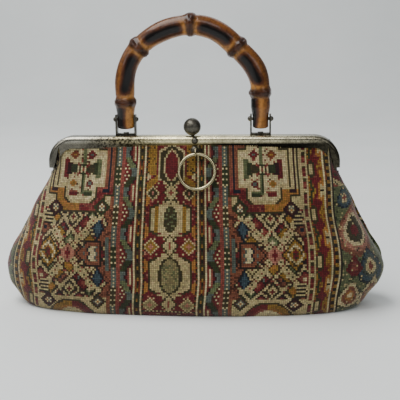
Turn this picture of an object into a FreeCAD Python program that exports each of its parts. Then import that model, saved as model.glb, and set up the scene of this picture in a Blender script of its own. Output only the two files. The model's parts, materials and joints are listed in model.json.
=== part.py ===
"""Framed needlepoint bag with a bamboo handle, a ball clasp and a ring pull.

Millimetres, +Z up. The bag stands on z = 0, its front faces -Y and it is as wide as X.
The front half of the metal frame stays with the bag and the rear half swings back.
"""
import FreeCAD
import Part
import math
import os

from FreeCAD import Vector

# Metal frame: two channels, face to face at y = 0, hinged at the ends of their arms.
FRAME_HALF_WIDTH = 135.0
FRAME_TOP_Z = 165.0
FRAME_CORNER_R = 24.0
CHANNEL_DEPTH = 8.9          # outer face of a half, from the plane where the halves meet
CHANNEL_HEIGHT = 10.8
CHANNEL_WALL = 1.1
CHANNEL_ROUND = 3.6
MEETING_GAP = 0.15
ARM_END_Z = 136.0
ARM_TAPER_START_Z = 156.0
ARM_END_WIDTH = 5.0
HINGE_Z = 129.0
HINGE_RIVET_R = 1.5
HINGE_LUG_R = 4.5
HINGE_LUG_THICK = 1.4
HINGE_LUG_X = 129.6          # inner face of the front half's lug
HINGE_LUG_GAP = 0.35
HINGE_LUG_EDGE_Y = 0.4       # the lug's straight edge, from the plane where the halves meet
HINGE_LUG_STEM = 6.0
HINGE_HEAD_R = 3.0
HINGE_HEAD_THICK = 1.2
RUNNING_CLEARANCE = 0.05

# Bag: half-width and half-depth of its level sections, from the floor to the hinge.
BODY_STATIONS = [
    (0.0, 150.0, 36.0),
    (3.0, 157.0, 41.5),
    (11.0, 166.0, 46.5),
    (27.0, 176.5, 50.0),
    (45.0, 181.5, 49.5),
    (58.0, 178.0, 47.0),
    (72.0, 169.0, 43.5),
    (90.0, 158.5, 37.5),
    (108.0, 148.0, 30.5),
    (128.6, 135.0, 22.9),
]
# The neck goes on from the hinge up into the frame's channels.
NECK_HALF_WIDTH = 127.0
NECK_STATIONS = [(129.0, 20.2), (137.0, 16.4), (145.0, 12.2), (151.0, 8.8), (158.5, 7.7)]
BACK_NECK_FOOT = (124.0, 21.2)
BACK_PANEL_TOP_Z = 123.5
NECK_EDGE_Y = 1.6
SECTION_POWER = 2.5
SECTION_POINTS = 28
PANEL_THICK = 2.2
NECK_THICK = 1.5
LINING_THICK = 0.9
LINING_GAP = 0.25
LINING_TOP_Z = 118.0
BOARD_THICK = 2.0
BOARD_HALF_WIDTH = 145.0
BOARD_HALF_DEPTH = 32.0
GUSSET_TOP_HALF = 3.0
GUSSET_BASE_HALF = 27.0
GUSSET_INNER_X = 90.0
HINGE_RELIEF_R = 11.6
HINGE_RELIEF_X = 121.0
CLAMP_STRIP_R = 2.1
CLAMP_STRIP_INSET = 3.7
CLAMP_STRIP_GAP = 8.0
CLAMP_STRIP_END_Z = 146.0

# Bamboo handle: a round arch of two radii on straight legs.
HANDLE_HALF_WIDTH = 62.6
HANDLE_R = 9.2
HANDLE_END_R = 7.4
HANDLE_NODE_R = 1.7
HANDLE_FOOT_Z = 170.9
HANDLE_END_LENGTH = 14.8
HANDLE_SHOULDER_Z = 210.2
HANDLE_SHOULDER_R = 50.0
HANDLE_SHOULDER_ANGLE = math.radians(50.0)
HANDLE_END_ROUND = 2.0
HANDLE_NODE_ANGLES = [50.0, 90.0, 134.0]
HANDLE_LEG_NODES = [(-1, 195.0), (1, 203.0)]
HANDLE_Y = 4.5
PIVOT_Z = 179.6
PIN_R = 1.5
PIN_HEAD_R = 2.4
PIN_BORE_LENGTH = 40.0

# Stirrup brackets on the rear half's top.
BRACKET_INNER_HALF = 8.0
BRACKET_THICK = 1.6
BRACKET_HALF_DEPTH = 3.4
BRACKET_TOP_Z = 184.0
BRACKET_RIVET_R = 1.6
BRACKET_RIVET_HEAD_R = 2.6
BRACKET_RIVET_HEAD = 1.0
BRACKET_RIVET_REACH = 4.0    # length of the rivet's hole, above and below the frame's top

# Clasp: big ball on a sprung post of the rear half, over the front half's top.
BALL_R = 8.0
BALL_CENTRE = Vector(0.0, -3.5, FRAME_TOP_Z + 8.4)
LATCH_PIVOT = Vector(0.0, 4.5, 160.4)
LATCH_EYE_R = 2.3
LATCH_PIN_R = 0.9
LATCH_POST_HALF = 2.2
LATCH_POST_R = 1.5
LATCH_CHEEK_X = 2.6
LATCH_CHEEK_THICK = 1.4
LATCH_SLOT_HALF = 3.0
LATCH_SEAT_Y = (1.5, 5.9)
LATCH_SEAT_Z = (156.0, 163.6)
LATCH_SEAT_FLOOR = 1.0
LATCH_SEAT_CLEARANCE = 0.3
LATCH_SPRING_HALF = 1.8
LATCH_SPRING_THICK = 0.6
LATCH_BORE_LENGTH = 20.0
CATCH_X = 2.8                # the small balls stand a little right of the middle
CATCH_BALL_R = 3.1
CATCH_BALL_CENTRE = Vector(CATCH_X, -10.2, 161.4)
BOSS_R = 3.9
BOSS_CENTRE = Vector(CATCH_X, -12.0, 153.0)
PLATE_HALF_WIDTH = 2.3
PLATE_THICK = 1.0
PLATE_BOTTOM_Z = 151.5

# Pull ring, leaning on the front of the bag.
RING_R = 16.2
RING_WIRE_R = 1.55
RING_TOP = Vector(4.0, -18.0, 150.0)
RING_LEAN = 23.0
RING_SWAY = 1.5              # how far the ring's middle hangs to the right of its loop
HANGER_R = 4.5
HANGER_WIRE_R = 0.7
HANGER_OFFSET = 1.9

X_AXIS = Vector(1, 0, 0)
Z_AXIS = Vector(0, 0, 1)


def save(node, shape):
    """Write one sub-part as parts/NODE.step."""
    shape.exportStep("parts/" + node + ".step")


def box(low, high):
    """A box between two corners given as (x, y, z)."""
    size = [high[i] - low[i] for i in range(3)]
    return Part.makeBox(size[0], size[1], size[2], Vector(*low))


def rod(start, end, radius):
    """A round bar from start to end."""
    along = end - start
    return Part.makeCylinder(radius, along.Length, start, along)


def mirrored(shape):
    """The same shape on the other side of x = 0."""
    return shape.mirror(Vector(0, 0, 0), X_AXIS)


# ---------------------------------------------------------------- bag sections

def section(z, half_width, half_depth):
    """A level, rounded-oblong closed wire."""
    power = 2.0 / SECTION_POWER
    points = []
    for i in range(SECTION_POINTS):
        angle = 2.0 * math.pi * i / SECTION_POINTS
        c = math.cos(angle)
        s = math.sin(angle)
        x = half_width * math.copysign(abs(c) ** power, c)
        y = half_depth * math.copysign(abs(s) ** power, s)
        points.append(Vector(x, y, z))
    curve = Part.BSplineCurve()
    curve.interpolate(Points=points, PeriodicFlag=True)
    return Part.Wire([curve.toShape()])


def loft(stations, inset):
    """A smooth solid through (z, half-width, half-depth) stations, drawn in by inset."""
    wires = [section(z, w - inset, d - inset) for z, w, d in stations]
    return Part.makeLoft(wires, True, False)


def body_wall(inset, thick):
    """The bag's side wall below the hinge, as one closed band."""
    wall = loft(BODY_STATIONS, inset).cut(loft(BODY_STATIONS, inset + thick))
    return wall.cut(hinge_relief())


def neck_wall(levels):
    """The band of fabric between the hinge and the channels, through (z, half-depth) levels."""
    stations = [(z, NECK_HALF_WIDTH, depth) for z, depth in levels]
    return loft(stations, 0.0).cut(loft(stations, NECK_THICK))


def hinge_relief():
    """Room for the arm ends to swing, at both sides."""
    length = 2.0 * FRAME_HALF_WIDTH
    start = Vector(HINGE_RELIEF_X, 0, HINGE_Z)
    right = Part.makeCylinder(HINGE_RELIEF_R, length, start, X_AXIS)
    return right.fuse(mirrored(right))


def gusset_wedge():
    """Triangle in the YZ plane that marks out the side gussets."""
    top = BODY_STATIONS[-1][0]
    corners = [(-GUSSET_BASE_HALF, -1.0), (GUSSET_BASE_HALF, -1.0),
               (GUSSET_TOP_HALF, top + 1.0), (-GUSSET_TOP_HALF, top + 1.0)]
    points = [Vector(GUSSET_INNER_X, y, z) for y, z in corners]
    face = Part.Face(Part.makePolygon(points + points[:1]))
    return face.extrude(Vector(FRAME_HALF_WIDTH, 0, 0))


def bag_panels():
    """Front, back, gussets and base, cut out of one wall."""
    wide = 2.0 * FRAME_HALF_WIDTH
    top = FRAME_TOP_Z
    wall = body_wall(0.0, PANEL_THICK)
    base_cut = box((-wide, -wide, -1.0), (wide, wide, PANEL_THICK))
    front_side = box((-wide, -wide, PANEL_THICK), (wide, 0.0, top))
    back_side = box((-wide, 0.0, PANEL_THICK), (wide, wide, BACK_PANEL_TOP_Z))
    right_wedge = gusset_wedge()
    left_wedge = mirrored(right_wedge)
    panels = wall.cut(right_wedge).cut(left_wedge)
    neck_front = neck_wall(NECK_STATIONS).common(box((-wide, -wide, 0.0), (wide, -NECK_EDGE_Y, top)))
    neck_back = neck_wall([BACK_NECK_FOOT] + NECK_STATIONS).common(
        box((-wide, NECK_EDGE_Y, 0.0), (wide, wide, top)))
    save("front_panel", panels.common(front_side))
    save("front_neck_panel", neck_front)
    save("back_panel", panels.common(back_side))
    save("back_neck_panel", neck_back.cut(latch_room()))
    upper_wall = wall.cut(base_cut)
    save("right_gusset", upper_wall.common(right_wedge))
    save("left_gusset", upper_wall.common(left_wedge))
    save("base_panel", loft(BODY_STATIONS, 0.0).common(base_cut))


def lining():
    """A thin pocket inside the panels, open at the top."""
    inset = PANEL_THICK + LINING_GAP
    floor_z = PANEL_THICK + BOARD_THICK + 2.0 * LINING_GAP
    wide = 2.0 * FRAME_HALF_WIDTH
    span = box((-wide, -wide, floor_z), (wide, wide, LINING_TOP_Z))
    hollow = box((-wide, -wide, floor_z + LINING_THICK), (wide, wide, FRAME_TOP_Z))
    outside = loft(BODY_STATIONS, inset).common(span)
    inside = loft(BODY_STATIONS, inset + LINING_THICK).common(hollow)
    save("lining", outside.cut(inside).cut(hinge_relief()))


def base_board():
    """Stiff board over the base panel."""
    bottom = PANEL_THICK + LINING_GAP
    outline = section(bottom, BOARD_HALF_WIDTH, BOARD_HALF_DEPTH)
    save("base_board", Part.Face(outline).extrude(Vector(0, 0, BOARD_THICK)))


# ---------------------------------------------------------------- metal frame

def frame_path(inset, y, end_z):
    """Arm, corner, top, corner, arm: a line inside the frame's outer edge."""
    half = FRAME_HALF_WIDTH - inset
    top = FRAME_TOP_Z - inset
    radius = FRAME_CORNER_R - inset
    bend_z = top - radius
    bend_x = half - radius
    diagonal = radius * math.sqrt(0.5)
    left_end = Vector(-half, y, end_z)
    left_bend = Vector(-half, y, bend_z)
    left_mid = Vector(-bend_x - diagonal, y, bend_z + diagonal)
    left_top = Vector(-bend_x, y, top)
    right_top = Vector(bend_x, y, top)
    right_mid = Vector(bend_x + diagonal, y, bend_z + diagonal)
    right_bend = Vector(half, y, bend_z)
    right_end = Vector(half, y, end_z)
    return Part.Wire([
        Part.makeLine(left_end, left_bend),
        Part.Arc(left_bend, left_mid, left_top).toShape(),
        Part.makeLine(left_top, right_top),
        Part.Arc(right_top, right_mid, right_bend).toShape(),
        Part.makeLine(right_bend, right_end),
    ])


def rounded_outline(x_out, x_in, y_out, y_in, radius, z):
    """Rectangle whose corner at (x_out, y_out) is rounded."""
    step_x = math.copysign(radius, x_in - x_out)
    step_y = math.copysign(radius, y_in - y_out)
    blend = 1.0 - math.sqrt(0.5)
    start = Vector(x_out + step_x, y_out, z)
    middle = Vector(x_out + step_x * blend, y_out + step_y * blend, z)
    end = Vector(x_out, y_out + step_y, z)
    return Part.Wire([
        Part.Arc(start, middle, end).toShape(),
        Part.makeLine(end, Vector(x_out, y_in, z)),
        Part.makeLine(Vector(x_out, y_in, z), Vector(x_in, y_in, z)),
        Part.makeLine(Vector(x_in, y_in, z), Vector(x_in, y_out, z)),
        Part.makeLine(Vector(x_in, y_out, z), start),
    ])


def channel(side):
    """One half of the frame: side -1 is the front half, +1 the rear."""
    outer = rounded_outline(-FRAME_HALF_WIDTH, CHANNEL_HEIGHT - FRAME_HALF_WIDTH,
                            side * CHANNEL_DEPTH, side * MEETING_GAP, CHANNEL_ROUND, ARM_END_Z)
    inner = rounded_outline(CHANNEL_WALL - FRAME_HALF_WIDTH, CHANNEL_HEIGHT + 2.0 - FRAME_HALF_WIDTH,
                            side * (CHANNEL_DEPTH - CHANNEL_WALL),
                            side * (MEETING_GAP + CHANNEL_WALL),
                            CHANNEL_ROUND - CHANNEL_WALL, ARM_END_Z)
    path = frame_path(0.0, side * MEETING_GAP, ARM_END_Z)
    solid = path.makePipeShell([outer], True, True)
    hollow = path.makePipeShell([inner], True, True)
    taper = arm_taper()
    return solid.cut(hollow).cut(taper).cut(mirrored(taper))


def arm_taper():
    """Wedge that narrows the right arm towards its end."""
    inner_x = FRAME_HALF_WIDTH - CHANNEL_HEIGHT
    end_x = FRAME_HALF_WIDTH - ARM_END_WIDTH
    points = [Vector(inner_x, -20, ARM_TAPER_START_Z), Vector(end_x, -20, ARM_END_Z - 1.0),
              Vector(inner_x - 3.0, -20, ARM_END_Z - 1.0)]
    return Part.Face(Part.makePolygon(points + points[:1])).extrude(Vector(0, 40, 0))


def hinge_lug(side, inner_x, hole_r):
    """Flat ear from the right arm's end down to the hinge."""
    outer_x = inner_x + HINGE_LUG_THICK
    disc = Part.makeCylinder(HINGE_LUG_R, HINGE_LUG_THICK, Vector(inner_x, 0, HINGE_Z), X_AXIS)
    near = side * HINGE_LUG_EDGE_Y
    far = side * (CHANNEL_DEPTH - CHANNEL_WALL)
    low_y = min(near, far)
    high_y = max(near, far)
    stem = box((inner_x, low_y, ARM_END_Z), (outer_x, high_y, ARM_END_Z + HINGE_LUG_STEM))
    corners = [Vector(inner_x, near, ARM_END_Z), Vector(inner_x, far, ARM_END_Z),
               Vector(inner_x, side * (HINGE_LUG_R - 0.1), HINGE_Z),
               Vector(inner_x, -side * HINGE_RIVET_R, HINGE_Z)]
    web = Part.Face(Part.makePolygon(corners + corners[:1])).extrude(Vector(HINGE_LUG_THICK, 0, 0))
    hole = Part.makeCylinder(hole_r, 3.0 * HINGE_LUG_THICK,
                             Vector(inner_x - HINGE_LUG_THICK, 0, HINGE_Z), X_AXIS)
    return disc.fuse([web, stem]).cut(hole).removeSplitter()


def hinge_rivet():
    """Right-hand rivet: shank through both lugs and a head at each end."""
    inner_x = HINGE_LUG_X
    outer_x = HINGE_LUG_X + 2.0 * HINGE_LUG_THICK + 2.0 * HINGE_LUG_GAP
    centre = Vector(inner_x, 0, HINGE_Z)
    shank = Part.makeCylinder(HINGE_RIVET_R, outer_x - inner_x, centre, X_AXIS)
    inner_head = Part.makeCylinder(HINGE_HEAD_R, HINGE_HEAD_THICK, centre, Vector(-1, 0, 0))
    outer_head = Part.makeCylinder(HINGE_HEAD_R, HINGE_HEAD_THICK,
                                   Vector(outer_x, 0, HINGE_Z), X_AXIS)
    return shank.fuse([inner_head, outer_head]).removeSplitter()


def latch_slot():
    """Opening in the rear half's top for the latch post."""
    low = (-LATCH_SLOT_HALF, -1.0, FRAME_TOP_Z - 3.0)
    high = (LATCH_SLOT_HALF, CHANNEL_DEPTH - 1.4, FRAME_TOP_Z + 1.0)
    return box(low, high)


def rivet_hole(x):
    """Hole for a bracket's rivet, through the frame's top and the bracket's floor."""
    low = Vector(x, HANDLE_Y, FRAME_TOP_Z - BRACKET_RIVET_REACH)
    high = Vector(x, HANDLE_Y, FRAME_TOP_Z + BRACKET_RIVET_REACH)
    return rod(low, high, BRACKET_RIVET_R)


def frame_halves():
    front_lug = hinge_lug(-1, HINGE_LUG_X, HINGE_RIVET_R)
    rear_lug_x = HINGE_LUG_X + HINGE_LUG_THICK + HINGE_LUG_GAP
    rear_lug = hinge_lug(1, rear_lug_x, HINGE_RIVET_R + RUNNING_CLEARANCE)
    front = channel(-1).fuse([front_lug, mirrored(front_lug)])
    rear = channel(1).fuse([rear_lug, mirrored(rear_lug)]).cut(latch_slot())
    for x in (-HANDLE_HALF_WIDTH, HANDLE_HALF_WIDTH):
        rear = rear.cut(rivet_hole(x))
    save("front_frame", front.removeSplitter())
    save("rear_frame", rear.removeSplitter())
    rivet = hinge_rivet()
    save("hinge_rivet_right", rivet)
    save("hinge_rivet_left", mirrored(rivet))


def clamp_strips():
    """Pressed cord in each channel that grips the fabric's edge."""
    for name, side in (("front_clamp_strip", -1), ("rear_clamp_strip", 1)):
        y = side * CLAMP_STRIP_INSET
        path = frame_path(CLAMP_STRIP_INSET, y, CLAMP_STRIP_END_Z)
        start = Vector(CLAMP_STRIP_INSET - FRAME_HALF_WIDTH, y, CLAMP_STRIP_END_Z)
        circle = Part.Wire([Part.makeCircle(CLAMP_STRIP_R, start, Z_AXIS)])
        strip = path.makePipeShell([circle], True, True)
        if side > 0:
            strip = strip.cut(box((-CLAMP_STRIP_GAP, 0, CLAMP_STRIP_END_Z),
                                  (CLAMP_STRIP_GAP, CHANNEL_DEPTH, FRAME_TOP_Z)))
        save(name, strip)


# ---------------------------------------------------------------- handle

def handle_path():
    """Straight legs, shoulder arcs and a flatter top arc, all tangent."""
    half = HANDLE_HALF_WIDTH
    shoulder_x = half - HANDLE_SHOULDER_R
    turn = HANDLE_SHOULDER_ANGLE
    crown_r = HANDLE_SHOULDER_R + shoulder_x / math.cos(turn)
    crown_z = HANDLE_SHOULDER_Z - (crown_r - HANDLE_SHOULDER_R) * math.sin(turn)

    def shoulder(angle, side):
        x = shoulder_x + HANDLE_SHOULDER_R * math.cos(angle)
        return Vector(side * x, HANDLE_Y, HANDLE_SHOULDER_Z + HANDLE_SHOULDER_R * math.sin(angle))

    foot_z = HANDLE_FOOT_Z + HANDLE_END_LENGTH
    edges = [
        Part.makeLine(Vector(-half, HANDLE_Y, foot_z), shoulder(0.0, -1)),
        Part.Arc(shoulder(0.0, -1), shoulder(turn / 2.0, -1), shoulder(turn, -1)).toShape(),
        Part.Arc(shoulder(turn, -1), Vector(0, HANDLE_Y, crown_z + crown_r), shoulder(turn, 1)).toShape(),
        Part.Arc(shoulder(turn, 1), shoulder(turn / 2.0, 1), shoulder(0.0, 1)).toShape(),
        Part.makeLine(shoulder(0.0, 1), Vector(half, HANDLE_Y, foot_z)),
    ]
    return Part.Wire(edges), crown_z, crown_r


def handle_end(side):
    """Slimmer trimmed end of a leg, with its rim rounded."""
    foot = Vector(side * HANDLE_HALF_WIDTH, HANDLE_Y, HANDLE_FOOT_Z)
    end = Part.makeCylinder(HANDLE_END_R, HANDLE_END_LENGTH + 1.0, foot, Z_AXIS)
    rim = [edge for edge in end.Edges if abs(edge.CenterOfMass.z - HANDLE_FOOT_Z) < 0.01]
    return end.makeFillet(HANDLE_END_ROUND, rim)


def node_ring(centre, along):
    """The swollen ring at a joint of the cane."""
    return Part.makeTorus(HANDLE_R - 0.5, HANDLE_NODE_R, centre, along)


def bamboo_handle():
    path, crown_z, crown_r = handle_path()
    foot = Vector(-HANDLE_HALF_WIDTH, HANDLE_Y, HANDLE_FOOT_Z + HANDLE_END_LENGTH)
    cane = path.makePipeShell([Part.Wire([Part.makeCircle(HANDLE_R, foot, Z_AXIS)])], True, True)
    pieces = [handle_end(-1), handle_end(1)]
    for side, height in HANDLE_LEG_NODES:
        centre = Vector(side * HANDLE_HALF_WIDTH, HANDLE_Y, height)
        pieces.append(node_ring(centre, Z_AXIS))
    for degrees in HANDLE_NODE_ANGLES:
        angle = math.radians(degrees)
        outward = Vector(math.cos(angle), 0, math.sin(angle))
        centre = Vector(0, HANDLE_Y, crown_z) + outward * crown_r
        pieces.append(node_ring(centre, Vector(-outward.z, 0, outward.x)))
    cane = cane.fuse(pieces)
    for side in (-1, 1):
        cane = cane.cut(pin_bore(side * HANDLE_HALF_WIDTH, PIN_R + RUNNING_CLEARANCE))
    save("bamboo_handle", cane.removeSplitter())


def pin_bore(x, radius):
    """Bore along X through the foot of the leg at x."""
    start = Vector(x - PIN_BORE_LENGTH / 2.0, HANDLE_Y, PIVOT_Z)
    return Part.makeCylinder(radius, PIN_BORE_LENGTH, start, X_AXIS)


def handle_mounts():
    """For each leg: a stirrup bracket, its rivet and the pin with ball heads."""
    outer = BRACKET_INNER_HALF + BRACKET_THICK
    for name, x in (("left", -HANDLE_HALF_WIDTH), ("right", HANDLE_HALF_WIDTH)):
        floor_z = FRAME_TOP_Z
        y_low = HANDLE_Y - BRACKET_HALF_DEPTH
        y_high = HANDLE_Y + BRACKET_HALF_DEPTH
        block = box((x - outer, y_low, floor_z), (x + outer, y_high, BRACKET_TOP_Z))
        room = box((x - BRACKET_INNER_HALF, y_low - 1.0, floor_z + BRACKET_THICK),
                   (x + BRACKET_INNER_HALF, y_high + 1.0, BRACKET_TOP_Z + 1.0))
        eye = pin_bore(x, PIN_R)
        save("bracket_" + name, block.cut(room).cut(eye).cut(rivet_hole(x)))
        start = Vector(x - outer, HANDLE_Y, PIVOT_Z)
        end = Vector(x + outer, HANDLE_Y, PIVOT_Z)
        heads = [Part.makeSphere(PIN_HEAD_R, start), Part.makeSphere(PIN_HEAD_R, end)]
        between = box((x - outer, HANDLE_Y - PIN_HEAD_R, PIVOT_Z - PIN_HEAD_R),
                      (x + outer, HANDLE_Y + PIN_HEAD_R, PIVOT_Z + PIN_HEAD_R))
        pin = rod(start, end, PIN_R).fuse([head.cut(between) for head in heads])
        save("handle_pin_" + name, pin.removeSplitter())
        head_base = Vector(x, HANDLE_Y, floor_z + BRACKET_THICK)
        shank = rod(Vector(x, HANDLE_Y, floor_z - CHANNEL_WALL),
                    head_base + Z_AXIS * (BRACKET_RIVET_HEAD / 2.0), BRACKET_RIVET_R)
        head = Part.makeCylinder(BRACKET_RIVET_HEAD_R, BRACKET_RIVET_HEAD, head_base, Z_AXIS)
        save("bracket_rivet_" + name, shank.fuse(head).removeSplitter())


# ---------------------------------------------------------------- clasp and ring

def latch_room():
    """Space that the seat takes in the rear channel, with a little to spare."""
    reach = LATCH_CHEEK_X + LATCH_CHEEK_THICK + LATCH_SEAT_CLEARANCE
    low = (-reach, 0.0, LATCH_SEAT_Z[0] - LATCH_SEAT_CLEARANCE)
    high = (reach, LATCH_SEAT_Y[1] + LATCH_SEAT_CLEARANCE, FRAME_TOP_Z)
    return box(low, high)


def latch():
    """Ball, straight post, pivot pin, its seat in the channel and the leaf spring."""
    eye = Part.makeCylinder(LATCH_EYE_R, 2.0 * LATCH_POST_HALF,
                            LATCH_PIVOT - X_AXIS * LATCH_POST_HALF, X_AXIS)
    stem = rod(LATCH_PIVOT, BALL_CENTRE, LATCH_POST_R)
    bore_start = LATCH_PIVOT - X_AXIS * (LATCH_BORE_LENGTH / 2.0)
    bore = Part.makeCylinder(LATCH_PIN_R + RUNNING_CLEARANCE, LATCH_BORE_LENGTH, bore_start, X_AXIS)
    save("latch_post", eye.fuse(stem).cut(bore).removeSplitter())
    save("latch_ball", Part.makeSphere(BALL_R, BALL_CENTRE).cut(stem))
    outer = LATCH_CHEEK_X + LATCH_CHEEK_THICK
    save("latch_pivot_pin", Part.makeCylinder(LATCH_PIN_R, 2.0 * outer,
                                              LATCH_PIVOT - X_AXIS * outer, X_AXIS))
    hole = Part.makeCylinder(LATCH_PIN_R, LATCH_BORE_LENGTH, bore_start, X_AXIS)
    near, far = LATCH_SEAT_Y
    low, high = LATCH_SEAT_Z
    floor_z = low + LATCH_SEAT_FLOOR
    right = box((LATCH_CHEEK_X, near, floor_z), (outer, far, high))
    cheeks = [right.cut(hole), mirrored(right).cut(hole)]
    floor = box((-outer, near, low), (outer, far, floor_z))
    save("latch_seat", floor.fuse(cheeks).removeSplitter())
    save("latch_spring", box((-LATCH_SPRING_HALF, near + 0.2, floor_z),
                             (LATCH_SPRING_HALF, far - 0.2, floor_z + LATCH_SPRING_THICK)))


def catch_and_hanger():
    """Plate on the front channel with its two small balls and the ring's loop."""
    face_y = -CHANNEL_DEPTH
    left = CATCH_X - PLATE_HALF_WIDTH
    right = CATCH_X + PLATE_HALF_WIDTH
    plate = box((left, face_y - PLATE_THICK, PLATE_BOTTOM_Z),
                (right, face_y, FRAME_TOP_Z - CHANNEL_ROUND))
    save("catch_plate", plate)
    plate_zone = box((left - BOSS_R, face_y - PLATE_THICK, PLATE_BOTTOM_Z - BOSS_R),
                     (right + BOSS_R, 0.0, FRAME_TOP_Z + CATCH_BALL_R))
    save("catch_ball", Part.makeSphere(CATCH_BALL_R, CATCH_BALL_CENTRE).cut(plate_zone))
    save("ring_boss", Part.makeSphere(BOSS_R, BOSS_CENTRE).cut(plate_zone))


def pull_ring():
    """Round ring, leaning out at its foot, in a small wire loop from the boss."""
    lean = math.radians(RING_LEAN)
    down = Vector(0, -math.sin(lean), -math.cos(lean))
    normal = Vector(0, -math.cos(lean), math.sin(lean))
    drop = math.sqrt(RING_R ** 2 - RING_SWAY ** 2)
    centre = RING_TOP + down * drop + X_AXIS * RING_SWAY
    save("pull_ring", Part.makeTorus(RING_R, RING_WIRE_R, centre, normal))
    towards_boss = Vector(0.0, BOSS_CENTRE.y - RING_TOP.y, BOSS_CENTRE.z - RING_TOP.z).normalize()
    hanger_centre = RING_TOP + towards_boss * HANGER_OFFSET
    save("ring_hanger", Part.makeTorus(HANGER_R, HANGER_WIRE_R, hanger_centre, X_AXIS))


os.makedirs("parts", exist_ok=True)
bag_panels()
lining()
base_board()
frame_halves()
clamp_strips()
bamboo_handle()
handle_mounts()
latch()
catch_and_hanger()
pull_ring()
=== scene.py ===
"""Looks of a framed needlepoint bag with a bamboo handle, a ball clasp and a ring pull.

Lengths are metres unless a name ends in _MM; stitch counts end in _ST.
"""
import json
import math

import bpy
import numpy as np
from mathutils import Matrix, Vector


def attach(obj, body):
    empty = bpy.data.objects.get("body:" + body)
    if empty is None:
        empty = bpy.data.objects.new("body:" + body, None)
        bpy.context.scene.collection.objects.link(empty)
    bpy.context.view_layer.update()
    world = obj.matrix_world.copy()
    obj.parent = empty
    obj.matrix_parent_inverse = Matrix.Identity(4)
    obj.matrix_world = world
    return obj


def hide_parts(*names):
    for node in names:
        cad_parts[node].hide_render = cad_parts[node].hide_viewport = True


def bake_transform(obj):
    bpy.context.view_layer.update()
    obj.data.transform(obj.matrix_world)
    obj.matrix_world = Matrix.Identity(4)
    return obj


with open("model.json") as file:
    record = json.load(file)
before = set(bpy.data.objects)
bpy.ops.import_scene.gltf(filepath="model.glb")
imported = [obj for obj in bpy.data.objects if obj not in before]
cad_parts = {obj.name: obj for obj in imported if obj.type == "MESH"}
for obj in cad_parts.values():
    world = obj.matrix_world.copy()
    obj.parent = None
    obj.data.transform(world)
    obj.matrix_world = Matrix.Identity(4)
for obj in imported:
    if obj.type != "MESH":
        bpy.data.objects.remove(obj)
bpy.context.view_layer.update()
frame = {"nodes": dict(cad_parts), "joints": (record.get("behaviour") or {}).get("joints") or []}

MM = 0.001
JOINTS = {joint["name"]: joint for joint in frame["joints"]}
HANDLE_Y_MM = JOINTS["handle_swing"]["pos_m"][1] / MM

# ---------------------------------------------------------------- camera, lights, floor

CAMERA_DISTANCE = 0.75
CAMERA_AZIMUTH = math.radians(4.5)
CAMERA_ELEVATION = math.radians(12.0)
CAMERA_ROLL = math.radians(-0.8)
CAMERA_AIM = Vector((0.0060, 0.0, 0.1038))
CAMERA_LENS_MM = 71.8


def make_camera():
    data = bpy.data.cameras.new("camera")
    data.lens = CAMERA_LENS_MM
    data.sensor_width = 36.0
    data.clip_end = 20.0
    camera = bpy.data.objects.new("camera", data)
    bpy.context.scene.collection.objects.link(camera)
    flat = math.cos(CAMERA_ELEVATION)
    offset = Vector((flat * math.sin(CAMERA_AZIMUTH), -flat * math.cos(CAMERA_AZIMUTH),
                     math.sin(CAMERA_ELEVATION)))
    camera.location = CAMERA_AIM + offset * CAMERA_DISTANCE
    look = (CAMERA_AIM - camera.location).to_track_quat("-Z", "Y")
    camera.rotation_euler = look.to_euler()
    camera.rotation_euler.rotate_axis("Z", CAMERA_ROLL)
    bpy.context.scene.camera = camera


def add_light(name, place, aim, size, watts, colour):
    data = bpy.data.lights.new(name, "AREA")
    data.shape = "RECTANGLE"
    data.size = size[0]
    data.size_y = size[1]
    data.energy = watts
    data.color = colour
    light = bpy.data.objects.new(name, data)
    light.location = place
    light.rotation_euler = (Vector(aim) - Vector(place)).to_track_quat("-Z", "Y").to_euler()
    bpy.context.scene.collection.objects.link(light)


def make_lights():
    add_light("key", (-0.6, -0.2, 1.6), (0, -0.05, 0.05), (1.4, 0.9), 30.0, (1.0, 1.0, 0.99))
    add_light("fill", (1.0, -1.2, 0.8), (0, 0, 0.1), (0.7, 0.5), 3.0, (0.95, 0.98, 1.0))
    add_light("window", (-1.3, -0.9, 0.9), (0, 0, 0.1), (0.5, 0.8), 5.0, (1.0, 0.99, 0.97))
    add_light("back", (0.2, 1.2, 1.4), (0, 0.1, 0.1), (1.2, 0.8), 6.0, (0.97, 0.99, 1.0))
    add_light("wall", (-1.2, 0.3, 1.0), (-0.6, 1.8, 0.6), (0.8, 0.8), 7.0, (0.97, 0.99, 1.0))
    add_light("table", (0.0, -1.0, 1.2), (0.0, -0.5, 0.0), (1.0, 0.5), 6.0, (1.0, 1.0, 1.0))
    world = bpy.data.worlds.new("studio")
    world.use_nodes = True
    background = world.node_tree.nodes["Background"]
    background.inputs["Color"].default_value = (0.80, 0.84, 0.88, 1.0)
    background.inputs["Strength"].default_value = 0.25
    bpy.context.scene.world = world


# ---------------------------------------------------------------- helpers

def srgb(text, alpha=1.0):
    """Linear colour of a hex string."""
    parts = [int(text[i:i + 2], 16) / 255.0 for i in (0, 2, 4)]
    line = [c / 12.92 if c <= 0.04045 else ((c + 0.055) / 1.055) ** 2.4 for c in parts]
    return (line[0], line[1], line[2], alpha)


def add_object(name, mesh):
    obj = bpy.data.objects.new(name, mesh)
    bpy.context.scene.collection.objects.link(obj)
    return obj


def mesh_piece(name, vertices, faces, material, smooth=True):
    """A new object from metre coordinates and faces."""
    mesh = bpy.data.meshes.new(name)
    mesh.from_pydata([tuple(v) for v in vertices], [], faces)
    mesh.update()
    mesh.materials.append(material)
    if smooth:
        mesh.polygons.foreach_set("use_smooth", [True] * len(mesh.polygons))
    return add_object(name, mesh)


def smoothstep(low, high, value):
    t = np.clip((value - low) / (high - low), 0.0, 1.0)
    return t * t * (3.0 - 2.0 * t)


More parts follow.
